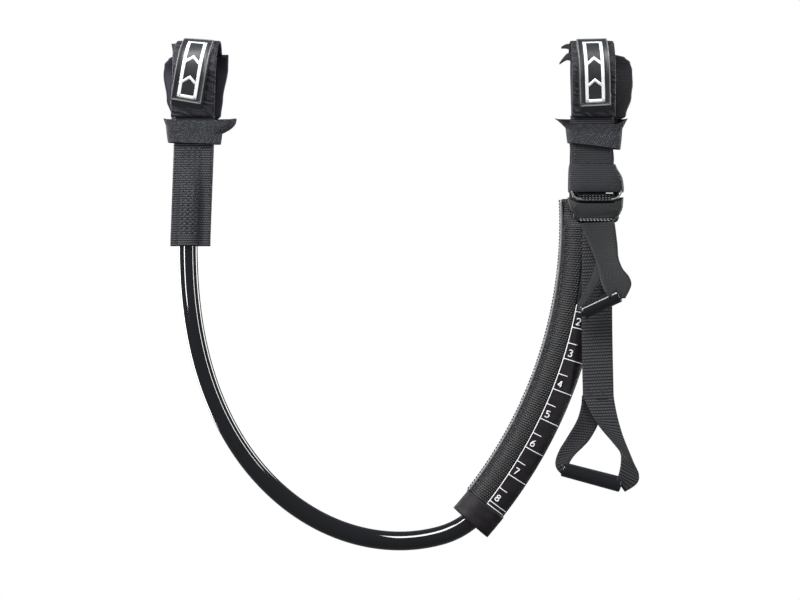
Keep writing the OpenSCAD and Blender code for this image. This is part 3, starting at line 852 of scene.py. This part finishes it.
# ------------------------------------------------------------------ keeper bands
def keeper(tag, x0, body, height, wing_l, wing_r, dip, slope, node):
    """Elastic loop. wing_l and wing_r are the pinched tips beside its top edge, as (reach, height,
    bluntness). dip lowers the front lip between them, and slope lowers the foot towards the right."""
    front, back, half = -6.5, 9.3, 18.6
    top = -32.8

    def ring(z, grow):
        down = top - z
        pts, n = [], 72
        wl = wing_l[0] * max(0.0, 1 - (down / wing_l[1]) ** wing_l[2])
        wr = wing_r[0] * max(0.0, 1 - (down / wing_r[1]) ** wing_r[2])
        tuck = 1.4 * (down / height) ** 2
        for i in range(n):
            t = 2 * math.pi * i / n
            c, s = math.cos(t), math.sin(t)
            x = math.copysign(abs(c) ** 0.35, c)
            y = math.copysign(abs(s) ** 0.75, s)
            reach = (half - tuck + (wr if c > 0 else wl) * max(0.0, abs(x) * 1.6 - 0.6)) + grow
            yy = (front + back) / 2 + y * ((back - front) / 2 + grow)
            ripple = 0.35 * noise.noise(Vector((x * 9, y * 3, z * 0.2 + x0)))
            lip = top - (dip if s < 0 else 0) * (1 - abs(x) ** 8)
            foot = top - height - slope * x
            pts.append((x0 + x * reach, yy + ripple * (1 if s < 0 else -1),
                        lip + (foot - lip) * down / height))
        return pts

    zs = [top - height * i / 22 for i in range(23)]
    outer = rings(tag + "_keeper_band", [ring(z, 0.0) for z in zs], "keeper", body, caps=False)
    # The inner face of the loop is near black: painted shade inside the keeper.
    rings(tag + "_keeper_inner_face", [ring(z, -1.1) for z in zs][::-1], "keeper_in", body, caps=False)
    for name, z in (("top", zs[0]), ("foot", zs[-1])):
        a, b = ring(z, 0.0), ring(z, -1.1)
        verts = a + b
        n = len(a)
        faces = [(i, (i + 1) % n, n + (i + 1) % n, n + i) for i in range(n)]
        build("%s_keeper_%s_edge" % (tag, name), verts, faces,
              [[(verts[v][0], verts[v][1]) for v in f] for f in faces], "keeper", body)
    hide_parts(node)


keeper("left", LEFT_X + 1, "left_keeper_band", 16.2, (1.6, 5.0, 1), (8.8, 9.5, 2.6), 1.6, 0.6,
       "left_keeper")
keeper("right", 0.6, "right_keeper_band", 18.0, (7.0, 7.0, 0.8), (3.5, 6.0, 0.9), 4.2, 2.2, "right_keeper")


# ------------------------------------------------------------------ sewn ends
BAR_X, BAR_Y, BAR_Z = 1.3, -2.6, (-75, -86, -97)        # the buckle's middle, and its three bars


def sewn_left():
    rows, mid = [], TUBE_X + 1.5

    def lean(z):
        return 2.9 * max(0.0, min(1.0, (z + 112) / 80))

    def depth(x, z):
        """Half thickness: flat at the top, and swelling round the tube further down."""
        low = max(0.0, min(1.0, (-56 - z) / 34))
        low = low * low * (3 - 2 * low)
        return 3.3 * (1 - low) + 1.7 * low + 6.2 * low * math.exp(-((x + 1.5) / 6.8) ** 4)

    for k in range(61):
        z = -31.2 + (END_Z - 0.6 + 31.2) * k / 60
        pts = []
        for sgn in (-1, 1):
            cells = range(25) if sgn < 0 else range(24, -1, -1)
            for i in cells:
                x = -13 + 26 * i / 24
                tuck = 0.55 * noise.noise(Vector((x * 0.2, z * 0.25, sgn)))
                edge_t = min(1, (13.4 - abs(x)) / 1.6) ** 0.5
                pts.append((mid + lean(z) + x, sgn * (depth(x, z) * edge_t + tuck * 0.5), z))
        rows.append(pts)
    o = rings("left_sewn_end", rows, "webbing", "line")
    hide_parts("left_end_webbing")

    def front(x, z, lift=0.25):
        return mid + lean(z) + x, -depth(x, z) - lift, z

    for k, x in enumerate((-6.5, -2.8, 0.9, 4.2)):
        pts = []
        n = 38
        for i in range(n + 1):
            z = -52 - 56 * i / n
            pts.append(front(x + (1.3 if i % 2 else -1.3), z))
        cord_mesh("left_bar_tack_%d" % k, pts, 0.3, "thread_dark", "line", 6)
    for k, x in enumerate((-11.8, 11.8)):
        stitches("left_edge_stitches_%d" % k, [front(x, -47 - 64 * i / 40, 0.15) for i in range(41)],
                 "thread_dark", "line", 1.3, 0.9, 0.16)


sewn_left()


def sewn_right():
    rows = []
    for k in range(31):
        z = -31.2 - 32.5 * k / 30
        thick = 4.6 - 1.2 * min(1, k / 20)
        y = -0.9 - 1.0 * min(1, k / 20)
        rows.append(band_ring((-1 + 0.5 * math.sin(k * 0.3), y, z), (1, 0, 0), (0, -1, 0), 28, thick, 0.25))
    o = rings("right_sewn_end", rows, "wrap", "anchor")
    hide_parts("right_end_webbing")
    box = [(-12, -50.5), (11, -50.5), (11, -61.5), (-12, -61.5), (-12, -50.5)]
    for k, ((x0, z0), (x1, z1)) in enumerate(zip(box, box[1:])):
        stitches("right_box_stitch_%d" % k, [(x0 + (x1 - x0) * i / 12, -4.0, z0 + (z1 - z0) * i / 12)
                                             for i in range(13)],
                 "thread_dark", "anchor", 1.3, 0.9, 0.2)
    eye = [band_ring((BAR_X, BAR_Y + 3.1 * math.cos(deg(a)), BAR_Z[0] + 3.1 * math.sin(deg(a))), (1, 0, 0),
                     (0, math.cos(deg(a)), math.sin(deg(a))), 23.6, 1.5) for a in range(100, 441, 10)]
    rings("right_bar_eye", eye, "wrap", "anchor")
    # strap that carries the sleeve
    path = smooth([(2.4, -33), (2.4, -52), (4.2, -60), (6.4, -67), (8.0, -76), (8.3, -98), (8.3, -112)], 8)
    rows = []
    for i, (y, z) in enumerate(path):
        y2, z2 = path[min(i + 1, len(path) - 1)]
        y1, z1 = path[max(i - 1, 0)]
        rows.append(band_ring((-3, y, z), (1, 0, 0), (0, z2 - z1, y1 - y2), 24, 1.3))
    o = rings("sleeve_carrier", rows, "wrap", "anchor")
    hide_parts("sleeve_strap")


sewn_right()


# ------------------------------------------------------------------ buckle and the bands round it
def band_wrap(name, rows_spec, mat, body, front, back, wall=1.3, n=72, dip=0.0):
    """Closed band of webbing: rows_spec is a list of (z, left, right, front bulge)."""
    def ring(z, left, right, bulge, grow):
        pts, mid, half = [], (left + right) / 2, (right - left) / 2 + grow
        for i in range(n):
            t = 2 * math.pi * i / n
            c, s = math.cos(t), math.sin(t)
            x = math.copysign(abs(c) ** 0.4, c)
            y = math.copysign(abs(s) ** 0.7, s)
            f = front - bulge
            yy = (f + back) / 2 + y * ((back - f) / 2 + grow)
            yy += 0.25 * noise.noise(Vector((x * 4, z * 0.3, s)))
            sag = dip * (1 - abs(x) ** 5) * max(0.0, 1 - (rows_spec[0][0] - z) / 12) if s < 0 else 0
            pts.append((mid + x * half, yy, z - sag))
        return pts

    spec = smooth(rows_spec, 5)
    outer = [ring(*r, 0.0) for r in spec]
    inner = [ring(*r, -wall) for r in spec]
    return rings(name, outer + inner[::-1], mat, body, closed=True)


cover = band_wrap("buckle_cover", [(-62.6, -15.6, 14.2, -4.2), (-66, -16.2, 15.6, -1.2),
                                   (-71, -16.5, 18.4, 0.6), (-76, -16.6, 19.4, 1.0),
                                   (-79.5, -16.6, 19.6, 0.7), (-81, -16.4, 19.4, 0.2)], "wrap", "anchor",
                                   -10.6, 3.0)
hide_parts("buckle_cover_band")
rel = band_wrap("release_wrap", [(-84.2, -16.8, 19.4, 0.2), (-87, -16.8, 19.2, 0.4),
                                 (-91, -15.6, 18.8, 0.5), (-95, -13.2, 17.2, 0.3),
                                 (-97.8, -11.4, 14.6, 0.0), (-99.6, -10.4, 13.2, -0.3)], "release",
                                 "buckle", -10.6, 2.8, dip=4.2)
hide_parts("release_band")
for k, (z, xa, xb, y, body) in enumerate([(-98.6, -9.6, 12.4, -10.9, "buckle"),
                                          (-99.5, -9.2, 12.0, -10.9, "buckle")]):
    stitches("wrap_stitches_%d" % k, [(xa + (xb - xa) * i / 14, y - 0.3, z) for i in range(15)], "thread",
             body, 1.4, 0.8, 0.2)
# webbing folds seen in the slot between the two bands
slot_rows = [band_ring((1.3, -6.0 + 0.3 * math.sin(i), -81.8 - 0.75 * i), (1, 0, 0), (0, -1, 0), 24, 1.2)
             for i in range(8)]
turn = rings("adjuster_fold", slot_rows, "wrap", "buckle")
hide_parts("adjuster_turn")
for k, z in enumerate((-83.2, -84.6, -86.0)):
    stitches("slot_stitches_%d" % k, [(-9.5 + 21 * i / 14, -6.9, z) for i in range(15)], "thread", "buckle",
             1.2, 0.9, 0.2)


def buckle():
    """Ladder frame: a rounded rectangle of round rod, with three bars across."""
    half, (top, _, foot) = 13.4, BAR_Z
    pts = []
    for cx, cz, a0 in ((half - 2, top, 0), (-half + 2, top, 90), (-half + 2, foot, 180),
                       (half - 2, foot, 270)):
        for i in range(7):
            a = deg(a0 + 15 * i)
            pts.append((BAR_X + cx + 2 * math.cos(a), BAR_Y, cz + 1.8 * math.sin(a)))
    pts.append(pts[0])
    o = cord_mesh("buckle_frame", pts, 2.0, "buckle", "buckle", 16)
    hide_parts("ladder_buckle")
    for k, z in enumerate(BAR_Z):
        cord_mesh("buckle_bar_%d" % k, [(BAR_X - half + 2 * half * i / 8, BAR_Y, z) for i in range(9)], 2.1,
                  "buckle", "buckle", 20)
    # Light grey arcs at the corners of the slot: painted highlights on the buckle's rim.
    for k, sgn in enumerate((-1, 1)):
        arcp = [(BAR_X + sgn * (9.4 + 6.6 * math.cos(deg(t))), -11.2, -80.4 - 5.4 * math.sin(deg(t)))
                for t in range(0, 91, 10)]
        cord_mesh("buckle_lip_highlight_%d" % k, arcp, 0.55, "rim_painted_highlight", "buckle", 10)


buckle()

# ------------------------------------------------------------------ tail and pull handle
tail_rows = []
for k in range(116):
    z = -100.4 - k
    lean = 0.8 * math.sin((z + 100) / 34)
    y = -8.6 - 1.1 * min(1.0, (-100.4 - z) / 9)
    tail_rows.append(band_ring((2.5 + lean, y, z), (1, 0, 0.05), (0, -1, 0), 20, 1.3, 0.2))
tail = rings("tail_strap", tail_rows, "tail", "tail")
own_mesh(tail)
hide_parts("tail_webbing", "tail_upper")

PY, GRIP_R = -12.8, 4.5          # depth of the pull handle, radius of both handle tubes
front_leg = edge_ribbon(
    "pull_loop_front_leg",
    [(-7.2, -10.0, -213.8), (-4.6, -11.0, -219.5), (-0.4, -11.8, -227.5), (4.2, -12.2, -234),
     (12, -13.6, -243), (16.4, -14.8, -249), (16.6, -15.8, -256), (15.2, -16.6, -263),
     (13.6, -16.2, -266.5)],
    [(12.6, -9.9, -212.6), (13.6, -9.9, -219), (15.4, -10.1, -227.5), (18.6, -10.4, -238.5),
     (22.6, -11.2, -249), (25.4, -11.8, -256), (28.8, -11.2, -263.4), (27.4, -11.6, -269.4),
     (19.6, -12.4, -274.6)],
    1.3, "tail", "pull_handle", crown=0.3, v0=0.4)
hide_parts("pull_loop")
edge_ribbon(
    "pull_loop_rear_leg",
    [(-7.9, -9.3, -212.4), (-8.6, -9.2, -220), (-11.4, -9.6, -229), (-17.6, -10.4, -239.5),
     (-22.6, -11.4, -247.5), (-25.2, -12.2, -254.6), (-24.6, -12.8, -259.4), (-21.6, -13.4, -263)],
    [(7, -8.9, -213.4), (4.4, -8.6, -221), (2.6, -9.2, -231), (-2.6, -10.2, -240.5), (-7.6, -11.6, -246),
     (-11.4, -12.8, -249.4), (-14.0, -14.6, -252), (-16, -16.4, -254.6)],
    1.3, "dark", "pull_handle", crown=0.3)
# webbing rolled through the handle tube, showing along its upper side
core_rows = []
for i in range(21):
    f = i / 20
    x, z = -22.0 + 41 * f, -257.6 - 10.4 * f
    core_rows.append(band_ring((x, PY + 0.6, z), (0.26, 0, 0.96), (0, -1, 0), 5.4, 3.6, 0.4))
core = rings("pull_core_webbing", core_rows, "dark", "pull_handle")
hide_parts("pull_loop_core")


def handle(name, a, b, body, node):
    """Thick-walled handle tube with a rolled rim at each end, round its spin joint's axis."""
    a, b = Vector(a), Vector(b)
    run = (b - a).normalized()
    x = run.cross(Vector((0, 1, 0))).normalized()
    y = run.cross(x)
    prof = [(0.2, 3.3), (0.0, 3.8), (0.25, 4.35), (0.8, GRIP_R)]
    length = (b - a).length
    spots = prof + [(length * k / 12, GRIP_R) for k in range(1, 12)]
    spots += [(length - s, r) for s, r in prof[::-1]]
    spots += [(length - 2.5, 3.2), (length / 2, 3.2), (2.5, 3.2)]
    rows = [[a + run * s + (x * math.cos(t) + y * math.sin(t)) * r
             for t in [2 * math.pi * k / 40 for k in range(40)]] for s, r in spots]
    o = rings(name, rows, "grip", body, closed=True)
    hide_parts(node)


handle("pull_handle_tube", (-20.8, PY, -260), (16.9, PY, -270.4), "pull_tube", "pull_grip")
for k, turn in enumerate((-1, 1)):
    stitches("tail_cross_stitch_%d" % k, [(-4.5 + 14 * i / 10, -10.7, -210 + turn * (i / 10 - 0.5) * 5)
                                          for i in range(11)],
             "thread_dark", "pull_handle", 1.4, 0.7, 0.2)

# ------------------------------------------------------------------ release handle
rl, rr = Vector((-8.2, -22.6, -158.6)), Vector((15, -27.2, -147.6))
front_strap = edge_ribbon(
    "release_strap_front",
    [(-9.0, -11.6, -101.2), (-7.2, -12.4, -107.5), (-3.8, -14.2, -115.5), (-0.6, -16.6, -123.5),
     (1.9, -20.0, -132), (3.2, -24.5, -139), (5.0, -28.6, -144.5), (7.6, -31.0, -149)],
    [(13.2, -11.6, -101.2), (14.0, -12.8, -108), (14.8, -14.4, -116), (15.2, -16.8, -123.5),
     (17.6, -19.4, -130.5), (21.6, -22.6, -136), (22.6, -26.0, -141.6), (18.6, -28.8, -149.6)],
    1.3, "release", "release_handle", crown=0.3)
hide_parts("release_strap")
edge_ribbon(
    "release_strap_fold",
    [(22.4, -25.4, -141.0), (20.4, -26.8, -146), (17.2, -27.2, -149.5), (15.2, -27.0, -151)],
    [(17.0, -22.0, -136.4), (14.6, -23.6, -141), (13.6, -24.8, -144), (13.2, -25.6, -146)],
    1.2, "release", "release_handle")
rear = edge_ribbon(
    "release_strap_rear",
    [(-11.4, -20.6, -158.6), (-10.4, -19.6, -152), (-4.6, -17.8, -141), (-0.6, -16.0, -131),
     (2.2, -14.4, -119)],
    [(-5.0, -21.0, -151.6), (-1.6, -19.8, -146.5), (4.0, -18.0, -137), (8.0, -16.2, -128),
     (10.0, -14.6, -117)],
    1.1, "release", "release_handle", crown=0.2)
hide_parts("release_return")
run = (rr - rl).normalized()
core = rings("release_core_webbing",
             [band_ring(rl + run * (-1.4 + 28.9 * i / 12), run.cross(Vector((0, 1, 0))), (0, -1, 0),
                        5.2, 3.4, 0.3) for i in range(13)], "dark", "release_handle")
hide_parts("release_core")
handle("release_handle_tube", rl, rr, "release_tube", "release_grip")
